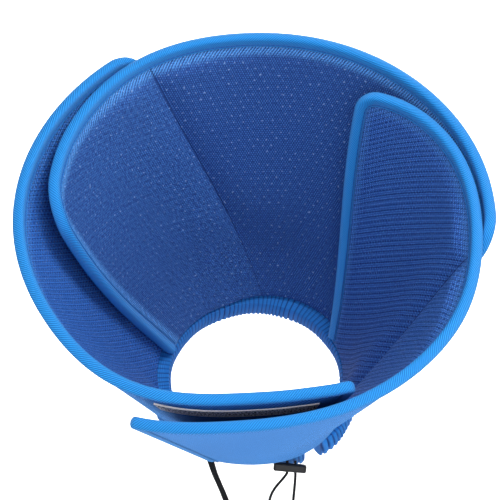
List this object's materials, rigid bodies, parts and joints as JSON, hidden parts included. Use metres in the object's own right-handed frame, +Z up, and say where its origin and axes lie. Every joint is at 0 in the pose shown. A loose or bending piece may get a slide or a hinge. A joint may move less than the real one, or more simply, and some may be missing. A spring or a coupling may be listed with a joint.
{
  "type": "soft recovery cone",
  "caption": "Padded cloth recovery cone of overlapping panels with rolled bindings, a gathered neck band, a front flap over closure tape, and a drawcord with a bar toggle.",
  "frame": {"origin": "centre of the neck opening at the seam between the panels and the neck band", "axes": "+Z up as worn, -Y towards the front where the open end faces; the cone's axis leans 51 degrees forward from +Z; +X is the picture's right"},
  "size_m": [0.2998, 0.3001, 0.3237],
  "materials": {
    "mesh_cloth": "blue knitted spacer mesh, matte",
    "binding_twill": "bright blue twill tape, matte",
    "casing_cloth": "gathered blue polyester, slight sheen",
    "hook_tape": "grey hook-and-loop tape, matte",
    "black_plastic": "moulded black plastic, satin",
    "black_cord": "black braided cord and flat tape, matte"
  },
  "bodies": {
    "root": {"top_panel": "mesh_cloth", "right_panel": "mesh_cloth", "left_panel": "mesh_cloth", "top_binding": "binding_twill", "right_binding": "binding_twill", "left_binding": "binding_twill", "neck_band": "casing_cloth", "closure_tape": "hook_tape", "toggle": "black_plastic", "drawcord": "black_cord", "tie_tape": "black_cord"}
  },
  "joints": []
}
